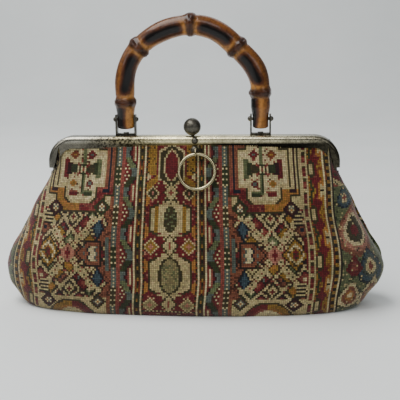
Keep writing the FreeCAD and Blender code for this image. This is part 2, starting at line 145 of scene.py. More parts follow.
def make_floor(material):
    """Pale sweep: flat under the bag and curving up behind it."""
    depth = [(-3.0, 0.0), (1.1, 0.0), (1.5, 0.05), (1.8, 0.22), (1.95, 0.5), (2.0, 3.2)]
    vertices = [(x, y, z) for y, z in depth for x in (-4.0, 4.0)]
    faces = [(2 * i, 2 * i + 1, 2 * i + 3, 2 * i + 2) for i in range(len(depth) - 1)]
    floor = mesh_piece("floor", vertices, faces, material)
    smoother = floor.modifiers.new("round", "SUBSURF")
    smoother.levels = 3
    smoother.render_levels = 3


# ---------------------------------------------------------------- materials

class Shader:
    """A node material: a Principled shader and a few short ways to feed it."""

    def __init__(self, name, **values):
        self.material = bpy.data.materials.new(name)
        self.material.use_nodes = True
        self.tree = self.material.node_tree
        self.shader = self.tree.nodes["Principled BSDF"]
        for key, value in values.items():
            self.shader.inputs[key.replace("_", " ")].default_value = value
        self.place = self.node("ShaderNodeTexCoord").outputs["Object"]

    def node(self, kind, **values):
        made = self.tree.nodes.new(kind)
        for key, value in values.items():
            setattr(made, key, value)
        return made

    def link(self, source, target):
        self.tree.links.new(source, target)

    def stretch(self, scale):
        mapping = self.node("ShaderNodeMapping")
        self.link(self.place, mapping.inputs["Vector"])
        mapping.inputs["Scale"].default_value = scale
        return mapping.outputs["Vector"]

    def noise(self, scale, detail=3.0, roughness=0.55, vector=None):
        made = self.node("ShaderNodeTexNoise")
        self.link(vector or self.place, made.inputs["Vector"])
        made.inputs["Scale"].default_value = scale
        made.inputs["Detail"].default_value = detail
        made.inputs["Roughness"].default_value = roughness
        return made.outputs["Fac"]

    def ramp(self, source, stops):
        """Colour ramp through (position, colour) stops."""
        made = self.node("ShaderNodeValToRGB")
        elements = made.color_ramp.elements
        while len(elements) < len(stops):
            elements.new(0.5)
        for element, (position, colour) in zip(elements, stops):
            element.position = position
            element.color = colour
        self.link(source, made.inputs["Fac"])
        return made.outputs["Color"]

    def mix(self, factor, first, second, blend="MIX"):
        made = self.node("ShaderNodeMix", data_type="RGBA", blend_type=blend)
        for socket, value in ((made.inputs["Factor"], factor), (made.inputs["A"], first),
                              (made.inputs["B"], second)):
            if hasattr(value, "node"):
                self.link(value, socket)
            else:
                socket.default_value = value
        return made.outputs["Result"]

    def spread(self, source, low, high):
        """Maps a 0..1 value to low..high."""
        made = self.node("ShaderNodeMapRange")
        self.link(source, made.inputs["Value"])
        made.inputs["From Min"].default_value = 0.3
        made.inputs["From Max"].default_value = 0.7
        made.inputs["To Min"].default_value = low
        made.inputs["To Max"].default_value = high
        return made.outputs["Result"]

    def between(self, source, low, high):
        """How far a value lies from low (0) to high (1)."""
        made = self.node("ShaderNodeMapRange")
        self.link(source, made.inputs["Value"])
        made.inputs["From Min"].default_value = low
        made.inputs["From Max"].default_value = high
        return made.outputs["Result"]

    def colour(self, source):
        self.link(source, self.shader.inputs["Base Color"])

    def rough(self, source):
        self.link(source, self.shader.inputs["Roughness"])

    def bump(self, source, height, strength=0.6):
        made = self.node("ShaderNodeBump")
        made.inputs["Strength"].default_value = strength
        made.inputs["Distance"].default_value = height
        self.link(source, made.inputs["Height"])
        self.link(made.outputs["Normal"], self.shader.inputs["Normal"])


def grey(value):
    return (value, value, value, 1.0)


def wool_material():
    """Stitch colours from the mesh, which carry painted shade between the stitches and painted highlights on their
    crowns, with the fuzz and fleck of worn wool.
    """
    wool = Shader("needlepoint", Roughness=0.92, Sheen_Weight=0.25, Sheen_Roughness=0.5,
                  Specular_IOR_Level=0.15)
    colours = wool.node("ShaderNodeVertexColor", layer_name="stitches")
    fleck = wool.ramp(wool.noise(1500.0, 2.0), [(0.25, grey(0.55)), (0.75, grey(1.35))])
    worn = wool.ramp(wool.noise(24.0, 4.0), [(0.3, (0.60, 0.53, 0.38, 1.0)), (0.7, (0.92, 0.84, 0.66, 1.0))])
    wool.colour(wool.mix(1.0, wool.mix(1.0, colours.outputs["Color"], fleck, "MULTIPLY"), worn, "MULTIPLY"))
    wool.bump(wool.noise(2600.0, 2.0), 0.0004, 0.7)
    return wool.material


def aged_nickel_material():
    """Worn plate: a painted reflection makes it bright along the crown; below it, painted shade and tarnish darken
    it, black along its lower right edge; pitted on the left.
    """
    metal = Shader("aged_nickel", Metallic=1.0)
    smudge = metal.noise(55.0, 6.0, 0.7)
    pits = metal.noise(600.0, 3.0, 0.7)
    axes = metal.node("ShaderNodeSeparateXYZ")
    metal.link(metal.place, axes.inputs["Vector"])
    along = metal.between(axes.outputs["X"], -0.135, 0.135)
    height = metal.between(axes.outputs["Z"], 0.1542, 0.1642)
    # Painted light: the crown ramp is a painted reflection on the upper band; the foot ramp darkens the lower band
    # with painted shade and tarnish together.
    crown = metal.ramp(along, [(0.0, srgb("8C897E")), (0.12, srgb("A09C8E")), (0.24, srgb("8A8063")),
                               (0.42, srgb("FFF2C0")), (0.72, srgb("DDD3AE")), (1.0, srgb("6A665A"))])
    foot = metal.ramp(along, [(0.0, srgb("6E6B62")), (0.14, srgb("6B675B")), (0.30, srgb("4C442F")),
                              (0.46, srgb("7A6C44")), (0.60, srgb("15130F")), (0.88, srgb("1A1814")), (1.0, srgb("4A463A"))])
    plate = metal.mix(metal.ramp(height, [(0.38, grey(0.0)), (0.62, grey(1.0))]), foot, crown)
    cloud = metal.ramp(smudge, [(0.35, grey(0.60)), (0.58, grey(1.15))])
    pit_share = metal.ramp(along, [(0.0, grey(0.15)), (0.13, grey(0.3)), (0.20, grey(1.0)),
                                   (0.32, grey(0.9)), (0.42, grey(0.2)), (1.0, grey(0.6))])
    spots = metal.ramp(pits, [(0.44, grey(0.12)), (0.54, grey(1.0))])
    metal.colour(metal.mix(pit_share, metal.mix(1.0, plate, cloud, "MULTIPLY"), spots, "MULTIPLY"))
    metal.rough(metal.spread(smudge, 0.36, 0.18))
    metal.bump(pits, 0.0002, 0.4)
    return metal.material


def dark_steel_material():
    metal = Shader("dark_steel", Metallic=1.0)
    smudge = metal.noise(260.0, 4.0, 0.6)
    metal.colour(metal.ramp(smudge, [(0.3, srgb("2B2925")), (0.55, srgb("5B574F")), (0.8, srgb("8A8474"))]))
    metal.rough(metal.spread(smudge, 0.42, 0.24))
    metal.bump(metal.noise(900.0), 0.0001, 0.4)
    return metal.material


def pewter_ball_material():
    metal = Shader("pewter_ball", Metallic=1.0)
    smudge = metal.noise(180.0, 5.0, 0.65)
    metal.colour(metal.ramp(smudge, [(0.30, srgb("34322E")), (0.50, srgb("55524A")), (0.75, srgb("7A7568"))]))
    metal.rough(metal.spread(smudge, 0.48, 0.34))
    metal.bump(metal.noise(1200.0), 0.0001, 0.3)
    return metal.material


def ring_material():
    metal = Shader("pale_brass", Metallic=1.0)
    smudge = metal.noise(220.0, 4.0, 0.6)
    metal.colour(metal.ramp(smudge, [(0.25, srgb("5E563E")), (0.5, srgb("9A9170")), (0.8, srgb("C4BA95"))]))
    metal.rough(metal.spread(smudge, 0.30, 0.12))
    return metal.material


def bamboo_material():
    """Varnished cane: scorch from the mesh, a cloudy tone, fine dark flecks and a fine bump."""
    cane = Shader("bamboo", Coat_Weight=0.3, Coat_Roughness=0.06, Specular_IOR_Level=0.15)
    colours = cane.node("ShaderNodeVertexColor", layer_name="scorch")
    fleck = cane.ramp(cane.noise(320.0, 4.0, 0.6), [(0.36, grey(0.45)), (0.55, grey(1.0))])
    cloud = cane.ramp(cane.noise(70.0, 3.0), [(0.3, grey(0.70)), (0.7, grey(1.20))])
    cane.colour(cane.mix(1.0, cane.mix(0.8, colours.outputs["Color"], fleck, "MULTIPLY"), cloud, "MULTIPLY"))
    cane.rough(cane.spread(cane.noise(150.0), 0.28, 0.42))
    cane.bump(cane.noise(420.0, 4.0), 0.0003, 0.35)
    return cane.material


def cloth_material(name, light, dark):
    """Plain woven cloth with a fine thread."""
    cloth = Shader(name, Roughness=0.9, Sheen_Weight=0.2)
    warp = cloth.node("ShaderNodeTexWave", bands_direction="X")
    weft = cloth.node("ShaderNodeTexWave", bands_direction="Z")
    for wave in (warp, weft):
        cloth.link(cloth.place, wave.inputs["Vector"])
        wave.inputs["Scale"].default_value = 380.0
        wave.inputs["Distortion"].default_value = 1.0
    weave = cloth.mix(0.5, warp.outputs["Color"], weft.outputs["Color"])
    tint = cloth.ramp(cloth.noise(30.0, 4.0), [(0.3, dark), (0.7, light)])
    shade = cloth.ramp(weave, [(0.2, grey(0.75)), (0.7, grey(1.1))])
    cloth.colour(cloth.mix(1.0, tint, shade, "MULTIPLY"))
    cloth.bump(weave, 0.0003, 0.5)
    return cloth.material


def paper_material(name, light, dark):
    paper = Shader(name, Roughness=0.85)
    paper.colour(paper.ramp(paper.noise(160.0, 5.0), [(0.3, dark), (0.7, light)]))
    paper.bump(paper.noise(900.0), 0.0002, 0.4)
    return paper.material


def floor_material():
    paper = Shader("backdrop", Roughness=0.8, Specular_IOR_Level=0.2)
    paper.colour(paper.ramp(paper.noise(6.0, 3.0), [(0.3, srgb("E3E6E5")), (0.7, srgb("E8EAE9"))]))
    return paper.material


# ---------------------------------------------------------------- shape of the bag

# Level sections as (height, half-width, half-depth), and how far apart front and back stand
# at the ends of the section, where the frame's arms hold them.
STATIONS_MM = [
    (0.0, 150.0, 37.0, 0.0),
    (3.0, 158.5, 42.5, 0.0),
    (11.0, 168.5, 47.5, 0.0),
    (27.0, 178.5, 50.5, 0.0),
    (45.0, 182.0, 50.0, 0.0),
    (58.0, 179.5, 47.5, 0.0),
    (72.0, 170.5, 43.5, 0.0),
    (90.0, 159.0, 37.5, 0.0),
    (108.0, 148.5, 31.0, 0.0),
    (120.0, 140.5, 26.5, 0.3),
    (129.0, 135.3, 22.0, 1.5),
    (134.0, 131.5, 19.5, 3.0),
    (139.0, 128.0, 16.6, 4.0),
    (145.0, 127.0, 13.6, 4.2),
    (152.0, 126.5, 10.2, 4.4),
    (161.0, 126.0, 7.4, 4.4),
]
SECTION_POWER = 2.5
SECTION_STEPS = 240
SMOOTHING_MM = 7.0


def smooth_stations():
    """Stations on a 0.5 mm ladder of heights, with their corners rounded off."""
    table = np.array(STATIONS_MM)
    heights = np.arange(0.0, table[-1, 0] + 0.25, 0.5)
    reach = int(SMOOTHING_MM / 0.5)
    kernel = np.hanning(2 * reach + 1)
    kernel /= kernel.sum()
    columns = []
    for k in (1, 2, 3):
        values = np.interp(heights, table[:, 0], table[:, k])
        padded = np.concatenate([2 * values[0] - values[reach:0:-1], values,
                                 2 * values[-1] - values[-2:-reach - 2:-1]])
        columns.append(np.convolve(padded, kernel, mode="valid"))
    return heights, columns


LADDER, (HALF_WIDTHS, HALF_DEPTHS, END_GAPS) = smooth_stations()


def section_at(height, inset=0.0):
    """Half-width, half-depth and end gap of the bag at a height."""
    width = np.interp(height, LADDER, HALF_WIDTHS) - inset
    depth = np.interp(height, LADDER, HALF_DEPTHS) - inset
    gap = np.interp(height, LADDER, END_GAPS)
    return width, depth, gap


def quarter_curve(height, inset=0.0):
    """x, y and length along a quarter of a section, from the middle to the side."""
    width, depth, gap = section_at(height, inset)
    turn = np.linspace(0.0, math.pi / 2.0, SECTION_STEPS)
    power = 2.0 / SECTION_POWER
    x = width * np.sin(turn) ** power
    y = gap + np.maximum(depth - gap, 0.5) * np.cos(turn) ** power
    length = np.concatenate([[0.0], np.cumsum(np.hypot(np.diff(x), np.diff(y)))])
    return x, y, length


def profile_rows(step_mm, top_mm):
    """Heights at equal steps down the middle of the front, and round onto the base."""
    z = np.arange(top_mm, -0.01, -0.25)
    depth = np.interp(z, LADDER, HALF_DEPTHS)
    length = np.concatenate([[0.0], np.cumsum(np.hypot(np.diff(z), np.diff(depth)))])
    return np.interp(np.arange(0.0, length[-1], step_mm), length, z)


LEAN_MM = 0.5
HEEL_LEAN_MM = 3.5
RIGHT_TUCK_MM = 4.0
WAIST_TUCK_MM = 6.0
LEFT_TUCK_MM = 3.5
WAIST_Z_MM = 98.0


def settle(points):
    """The filled bag leans to its left lower down, and its right side is pulled in."""
    low = 1.0 - smoothstep(45.0, 125.0, points[..., 2])
    heel = 1.0 - smoothstep(5.0, 45.0, points[..., 2])
    right = np.clip(points[..., 0] / 180.0, 0.0, 1.0)
    left = np.clip(-points[..., 0] / 180.0, 0.0, 1.0)
    moved = points.copy()
    waist = np.exp(-((points[..., 2] - WAIST_Z_MM) / 26.0) ** 2)
    moved[..., 0] -= LEAN_MM * low + HEEL_LEAN_MM * heel
    moved[..., 0] -= (RIGHT_TUCK_MM * low + WAIST_TUCK_MM * waist) * right
    moved[..., 0] += LEFT_TUCK_MM * (waist + 0.7 * low) * left
    return moved


def drape(x, z, seed):
    """Soft hollows, folds at the corners of the frame and sag near the floor, in mm."""
    waves = 0.0
    for k, (across, down, size) in enumerate([(0.021, 0.017, 1.0), (0.043, 0.029, 0.7),
                                              (0.071, 0.052, 0.4)]):
        phase = seed + 1.7 * k
        waves = waves + size * np.sin(across * x * 2.0 + phase) * np.sin(down * z * 2.4 + 0.9 * phase + 0.01 * x)
    gathers = 0.55 * np.sin(x * 0.42 + seed) * smoothstep(112.0, 150.0, z)
    side = smoothstep(95.0, 150.0, np.abs(x))
    folds = side * 1.6 * np.sin(0.11 * z + 0.05 * np.abs(x) + seed)
    crease = 118.0 + 0.16 * (150.0 - z)
    ridge = np.exp(-((x - crease) / 7.0) ** 2) - 0.8 * np.exp(-((x - crease + 14.0) / 7.0) ** 2)
    folds = folds + 2.0 * ridge * smoothstep(30.0, 90.0, z)
    held = 1.0 - smoothstep(146.0, 156.0, z)
    settled = smoothstep(1.0, 14.0, z)
    return (waves * settled + gathers + folds * settled) * held


# ---------------------------------------------------------------- needlepoint chart

PALETTE = {
    "cream": "CFC39A", "ivory": "DDD3B0", "crimson": "8A1C2C", "rose": "A6574F", "pink": "C48A7C",
    "maroon": "4C141C", "mustard": "AE8A22", "ochre": "C08A34", "olive": "57502A",
    "bark": "3A2C1A", "sage": "7D8A66", "moss": "46542C", "slate": "6E7E80", "navy": "1D2A46",
    "blue": "4A6880", "terracotta": "A0644A", "rust": "97501F", "brown": "6B3B22",
    "stone": "A9A27A",
}
NAMES = list(PALETTE)


class Chart:
    """Stitches by column u, counted from the middle of the pattern, and row v."""

    def __init__(self, columns, rows):
        self.side = columns[None, :] + 0.0 * rows[:, None]
        self.v = rows[:, None] + 0.0 * columns[None, :]
        self.u = np.abs(self.side)
        self.cells = np.full(self.u.shape, NAMES.index("sage"), dtype=int)

    def paint(self, mask, name):
        self.cells[mask] = NAMES.index(name)

    def band(self, low, high, name):
        self.paint((self.u >= low) & (self.u < high), name)

    def block(self, u0, u1, v0, v1, name):
        self.paint((self.u >= u0) & (self.u < u1) & (self.v >= v0) & (self.v < v1), name)

    def diamond(self, u, v, sizes, names):
        """Nested diamonds, largest first."""
        reach = np.abs(self.u - u) + np.abs(self.v - v)
        for size, name in zip(sizes, names):
            self.paint(reach <= size, name)

    def oval(self, u, v, half_u, half_v, name, mask=True):
        inside = ((self.u - u) / half_u) ** 2 + ((self.v - v) / half_v) ** 2 <= 1.0
        self.paint(inside & mask, name)

    def fleck(self, mask, share, name):
        """Scatters single stitches over a share of the mask."""
        noise = np.sin(self.side * 12.9898 + self.v * 78.233) * 43758.5453
        self.paint(mask & (noise - np.floor(noise) < share), name)

    def lozenge(self, u, v, half_u, half_v, name):
        """A diamond with its own width and height."""
        self.paint(np.abs(self.u - u) / half_u + np.abs(self.v - v) / half_v <= 1.0, name)

    def cycle(self, mask, phase, names):
        """Takes turns through names by the whole part of phase."""
        index = np.floor(phase).astype(int) % len(names)
        for k, name in enumerate(names):
            self.paint(mask & (index == k), name)


def hexagon(chart, v, half_u, half_v, slope, name):
    """Tall hexagon in the middle column, pointed above and below."""
    chart.paint((chart.u <= half_u) & (np.abs(chart.v - v) + slope * chart.u <= half_v), name)


def paint_hexagon_chain(chart):
    """Middle column: three tall hexagons linked by small lozenges, on flecked crimson."""
    u, v = chart.u, chart.v
    column = u < 14.6
    chart.paint(column, "crimson")
    chart.fleck(column, 0.22, "rose")
    chart.fleck(column & (u > 9.0), 0.10, "pink")
    for row in (29.0, 46.0, 64.0, 76.0):
        chart.oval(13.6, row, 2.2, 3.4, "ochre")
    paint_top_hexagon(chart, 10.0)
    hexagon(chart, 39.5, 11.0, 12.0, 0.47, "olive")
    hexagon(chart, 39.5, 10.0, 10.7, 0.47, "cream")
    chart.paint((u > 6.0) & (u < 8.9) & (np.abs(v - 39.5) < 6.6), "mustard")
    chart.oval(0.0, 39.5, 3.6, 7.2, "olive")
    chart.fleck((u < 3.2) & (np.abs(v - 39.5) < 6.0), 0.25, "sage")
    hexagon(chart, 69.5, 11.2, 15.0, 0.65, "olive")
    hexagon(chart, 69.5, 10.2, 13.6, 0.65, "cream")
    chart.oval(0.0, 69.5, 6.2, 10.0, "olive")
    chart.oval(0.0, 69.5, 5.0, 8.8, "stone")
    chart.fleck((u < 4.4) & (np.abs(v - 69.5) < 7.5), 0.18, "sage")
    for row, side in ((25.0, "olive"), (53.5, "mustard"), (85.5, "stone")):
        paint_link(chart, row, side)
    chart.cycle(column & (np.abs(v - 90.0) < 0.6), u, ["cream", "olive"])
    chart.cycle((u > 13.8) & column, v, ["bark", "olive", "rust"])


def paint_top_hexagon(chart, row):
    """Crimson oval in an olive hexagon, between mustard shoulders."""
    u, v = chart.u, chart.v
    shoulder = (u > 8.4) & (u < 14.6) & (v < row + 5.5)
    chart.paint(shoulder, "mustard")
    chart.fleck(shoulder, 0.12, "olive")
    chart.paint((u > 7.0) & (u < 14.6) & (np.abs(v - row - 7.5 - (u - 8.0) * 0.95) < 2.4), "mustard")
    chart.paint((u - 11.3 > np.abs(v - row - 6.5) * 0.9) & (u < 14.6), "cream")
    hexagon(chart, row, 7.8, 12.4, 0.56, "cream")
    hexagon(chart, row, 6.9, 11.2, 0.56, "olive")
    chart.oval(0.0, row, 4.6, 9.2, "cream")
    chart.oval(0.0, row, 3.5, 8.0, "crimson")


def paint_link(chart, row, side):
    """Crimson lobes and small lozenges between two hexagons."""
    chart.lozenge(5.6, row, 5.4, 7.4, "olive")
    chart.cycle(np.abs(chart.u - 5.6) / 5.4 + np.abs(chart.v - row) / 7.4 <= 1.0, chart.v, ["cream", "crimson"])
    chart.lozenge(5.6, row, 4.2, 6.0, "crimson")
    chart.lozenge(10.0, row + 0.5, 4.4, 4.4, "cream")
    chart.lozenge(10.0, row + 0.5, 3.2, 3.2, side)
    chart.lozenge(10.0, row + 0.5, 1.2, 1.2, "pink")
    chart.lozenge(0.0, row, 4.4, 6.0, "olive")
    chart.lozenge(0.0, row, 3.4, 5.0, "cream")
    chart.lozenge(0.0, row, 1.4, 1.6, "rose")


def paint_ribbon(chart):
    """Wavy ribbon between half-ovals, edged by a dashed and a dotted stripe."""
    chart.band(14.5, 15.6, "ivory")
    stripe = (chart.u >= 15.6) & (chart.u < 18.6)
    chart.cycle(stripe, chart.v / 8.0, ["olive", "rust", "moss", "brown"])
    chart.cycle(stripe & (np.abs(chart.u - 17.0) < 0.8), (chart.v + 1.0) / 2.0, ["mustard", "bark", "olive"])
    chart.band(18.6, 19.7, "ivory")
    field = (chart.u >= 19.7) & (chart.u < 28.0)
    period = 22.4
    phase = 2.0 * math.pi * (chart.v - 3.0) / period
    centre = 23.4 + 2.3 * np.cos(phase)
    chart.paint(field & (chart.u < centre), "crimson")
    chart.paint(field & (chart.u >= centre), "brown")
    near = (chart.v - 3.0 + period / 2.0) % period - period / 2.0
    far = (chart.v - 3.0) % period - period / 2.0
    chart.paint(field & (np.abs(chart.u - centre) <= 2.6) & (chart.u < centre), "maroon")
    chart.paint((np.abs(chart.u - 21.4) < 1.1) & (np.abs(near) < 5.0), "rose")
    chart.paint((np.abs(chart.u - 21.4) < 0.55) & (np.abs(near) < 4.2), "ivory")
    bay = field & (chart.u > centre + 2.4)
    chart.paint(bay & (np.abs(far) < 7.0), "crimson")
    dots = (np.floor(chart.v) % 2 == 0) & (np.floor(chart.u + chart.v / 2.0) % 2 == 0)
    chart.paint(bay & (np.abs(far) < 6.0) & dots, "ivory")
    ribbon = field & (np.abs(chart.u - centre) <= 1.6)
    chart.cycle(ribbon, chart.v / 5.6, ["slate", "sage", "slate", "moss"])
    chart.band(27.0, 28.4, "rose")


def paint_dots(chart, low, colours, length):
    """A three-stitch stripe with a pale dot on every other row."""
    stripe = (chart.u >= low) & (chart.u < low + 3.2)
    chart.cycle(stripe, chart.v / length, colours)
    row = np.floor(chart.v).astype(int)
    single = (np.floor(chart.v / length).astype(int) % 2) == 0
    middle = np.abs(chart.u - low - 1.5) < 0.55
    pair = (np.abs(chart.u - low - 0.5) < 0.55) | (np.abs(chart.u - low - 2.5) < 0.55)
    chart.paint(stripe & single & middle & (row % 2 == 0), "ivory")
    chart.paint(stripe & ~single & pair & (row % 3 == 0), "ivory")


def paint_cross_medallion(chart, base):
    """Stepped cream cross in an outlined band, from row base down."""
    u, v = chart.u, chart.v - base
    p = u - 51.5

    def cross(grow):
        wide = (np.abs(p) <= 13.0 + grow) & (v >= 4 - grow) & (v < 22 + grow)
        tall = (np.abs(p) <= 8.0 + grow) & (v >= -2 - grow) & (v < 31 + grow)
        cut = (v > 27 + grow) & (np.abs(p) + (v - 27 - grow) > 8.5 + grow)
        return (wide | tall) & ~cut

    reach = v < 42
    chart.paint(cross(6.6) & reach, "olive")
    chart.paint(cross(5.6) & (p < 0), "terracotta")
    chart.paint(cross(5.6) & (p >= 0), "cream")
    lower = (v > 24) & cross(5.6)
    chart.paint(lower & (p < 0), "crimson")
    chart.paint(lower & (p >= 0), "ochre")
    chart.fleck(lower & (p >= 0), 0.25, "mustard")
    chart.fleck(lower & (p < 0), 0.3, "rose")
    chart.paint(cross(5.6) & (p < 0) & (v > 17) & ~lower, "rose")
    chart.paint(cross(2.0), "olive")
    chart.paint(cross(1.2), "cream")
    chart.paint(cross(0.0), "ivory")
    chart.fleck(cross(-2.4), 0.14, "brown")
    chart.fleck(cross(-2.4), 0.10, "rose")
    chart.paint((np.abs(p + 0.8) < 1.1) & (v > -2) & (v < 28), "sage")
    chart.paint((np.abs(p + 0.8) < 0.6) & (v > 16) & (v < 27), "moss")
    for side, first, second in ((-1, "sage", "moss"), (1, "crimson", "maroon")):
        q = p * side
        chart.paint((q > 8.0) & (q < 11.2) & (np.abs(v - 13) < 5.5), first)
        chart.paint((q > 6.4) & (q < 9.0) & (np.abs(v - 13) < 4.0), second)
        chart.paint((q > 3.0) & (q < 7.0) & (np.abs(v - 13) < 2.4), "olive" if side < 0 else "moss")
        chart.paint((q > 1.5) & (q < 7.5) & (v >= 27) & (v < 29), "moss" if side < 0 else "crimson")
        chart.paint((q > 1.5) & (q < 7.5) & (v >= 26) & (v < 27), "sage" if side < 0 else "rose")
    flower = np.maximum(np.abs(p + 0.5), np.abs(v - 13.5))
    cross_lines = (np.abs(np.abs(p + 0.5) - np.abs(v - 13.5)) < 0.8) & (flower < 5.0)
    chart.paint(flower < 2.6, "moss")
    chart.cycle(cross_lines, flower, ["rose", "ivory", "crimson"])
    for du, dv, name in ((-5.0, 5.0, "crimson"), (5.0, 5.0, "rust"), (-5.0, 21.5, "crimson"), (5.0, 21.5, "ochre")):
        chart.diamond(51.5 + du, base + dv, [2.7, 1.2], [name, "slate" if du < 0 else "mustard"])


def paint_flower_square(chart, u, v, edge):
    chart.diamond(u, v, [4.6, 3.2, 2.2, 1.0], [edge, "brown", "slate", "ochre"])
    square = (np.abs(chart.u - u) < 1.6) & (np.abs(chart.v - v) < 1.6)
    chart.paint(square & ((chart.u + chart.v) % 2 < 1), "ivory")


def paint_trellis(chart, base):
    """Small nested diamonds between beaded lines, all over the lattice."""
    p, q = chart.u - 54.0, chart.v - base
    size = 11.0
    first, second = (p + q * 0.86) / size, (p - q * 0.86) / size
    region = (np.abs(q) < 24.5) & (np.abs(p) < 20.0)
    near = [np.abs(axis - np.floor(axis) - 0.5) for axis in (first, second)]
    reach = np.maximum(near[0], near[1])
    cell = np.floor(first) * 3 + np.floor(second) * 5
    fills = [("crimson", "rose", "ivory"), ("olive", "mustard", "ochre"), ("maroon", "crimson", "slate"),
             ("moss", "sage", "ivory"), ("brown", "terracotta", "navy"), ("olive", "cream", "crimson")]
    chart.paint(region, "cream")
    chart.paint(region & (reach < 0.40), "bark")
    for k, names in enumerate(fills):
        member = region & (cell % len(fills) == k)
        for limit, name in zip((0.36, 0.27, 0.13), names):
            chart.paint(member & (reach < limit), name)
    lines = region & (reach >= 0.40)
    chart.fleck(lines, 0.16, "brown")
    chart.fleck(lines & (np.floor(chart.v) % 2 == 0), 0.12, "rose")


def paint_lattice(chart, base):
    """Large beaded X over the trellis, with a zigzag round it and an arrow in its inner bay."""
    u, v = chart.u, chart.v
    p, q = u - 55.0, v - base
    paint_trellis(chart, base)
    inner_edge = u - 31.5 - np.abs(np.abs(q) - 16.0) * 0.55
    chart.paint((u > 33.0) & (np.abs(inner_edge) < 3.0) & (np.abs(q) < 24.0), "bark")
    chart.paint((u > 33.0) & (np.abs(inner_edge) < 2.2) & (np.abs(q) < 24.0), "terracotta")
    chart.fleck((u > 31.6) & (u < 37.0) & (np.abs(q) < 24.0), 0.22, "brown")
    chart.block(33.0, 34.6, base - 9.0, base + 9.0, "slate")
    for sign in (-1.0, 1.0):
        y = base + sign * 13.5
        chart.lozenge(39.0, y, 3.2, 6.0, "navy")
        chart.lozenge(39.0, y, 2.2, 4.6, "blue")
        chart.lozenge(46.0, y + sign * 2.5, 4.6, 5.4, "bark")
        chart.lozenge(46.0, y + sign * 2.5, 3.6, 4.4, "crimson")
        chart.lozenge(46.0, y + sign * 2.5, 1.4, 1.8, "rose")
        chart.lozenge(61.5, y - sign * 3.0, 4.8, 5.4, "olive")
        chart.lozenge(61.5, y - sign * 3.0, 3.8, 4.4, "mustard")
        chart.lozenge(61.5, y - sign * 3.0, 1.4, 1.6, "ivory")
    arrow = np.abs(q) < np.minimum(7.5, (51.0 - u) * 1.1)
    chart.paint(arrow & (u > 36.5), "bark")
    chart.paint((np.abs(q) < np.minimum(6.4, (49.6 - u) * 1.1)) & (u > 37.5), "terracotta")
    core = (np.abs(q) < 3.6) & (u > 38.0) & (u < 46.5)
    chart.cycle(core, (u + np.floor(v / 2.0) % 2) / 1.4, ["ivory", "navy", "terracotta", "slate", "ivory"])
    badge = (u > 58.5) & (np.abs(p - 11.0) / 8.0 + np.abs(q) / 9.0 < 1.0)
    chart.paint(badge, "bark")
    for limit, name in ((0.88, "mustard"), (0.66, "ivory"), (0.50, "mustard"), (0.30, "crimson")):
        chart.paint(np.abs(p - 11.0) / 8.0 + np.abs(q) / 9.0 < limit, name)
    chart.fleck(badge, 0.2, "olive")
    band = np.abs(np.abs(p) - np.abs(q) * 0.74)
    beads = (np.abs(q) < 20.0) & (np.abs(p) < 17.0) & (band < 2.4)
    chart.paint(beads, "cream")
    step = np.floor(np.abs(q) + np.abs(p) + 0.5).astype(int)
    chart.paint(beads & (step % 7 == 0) & (band < 1.2), "moss")
    chart.paint(beads & (step % 7 == 3) & (band < 1.2), "rose")
    chart.paint(beads & (band > 1.6) & (step % 2 == 0), "brown")
    chart.lozenge(55.0, base, 4.4, 5.0, "pink")
    chart.lozenge(55.0, base, 2.2, 2.6, "crimson")
    slant = (v > base - 9.0) & (v < base + 18.0) & (np.abs(u - 72.0 - (v - base) * 0.12) < 0.9)
    chart.paint(slant, "crimson")
    comb = (u > 66.5) & (u < 71.5) & (np.abs(np.abs(q) - 19.0) < 3.6)
    chart.paint(comb, "cream")
    chart.cycle(comb, v, ["cream", "bark"])


def paint_motif_field(chart):
    """Cream panel with the medallions and the lattice between them."""
    chart.band(31.6, 33.4, "terracotta")
    chart.band(33.4, 73.0, "cream")
    paint_lattice(chart, 58.5)
    paint_cross_medallion(chart, -1.0)
    chart.block(34.6, 35.9, -20, 25, "navy")
    chart.block(34.6, 38.6, 24, 25.4, "navy")
    chart.block(35.9, 37.8, -20, 23, "terracotta")
    chart.block(68.4, 69.7, -20, 25, "maroon")
    chart.block(65.4, 69.7, 24, 25.4, "maroon")
    arch = ((chart.u - 53.0) / 14.0) ** 2 + ((chart.v - 98.0) / 14.0) ** 2
    for size, inner, outer in ((1.0, "olive", "olive"), (0.86, "crimson", "mustard"),
                               (0.50, "rose", "ochre"), (0.36, "ivory", "ivory")):
        chart.paint((arch < size) & (chart.u < 53.0), inner)
        chart.paint((arch < size) & (chart.u >= 53.0), outer)
    for u, v, edge in ((38.0, 33.5, "moss"), (66.0, 34.5, "maroon"), (38.0, 85.0, "moss"), (66.5, 86.0, "maroon")):
        paint_flower_square(chart, u, v, edge)


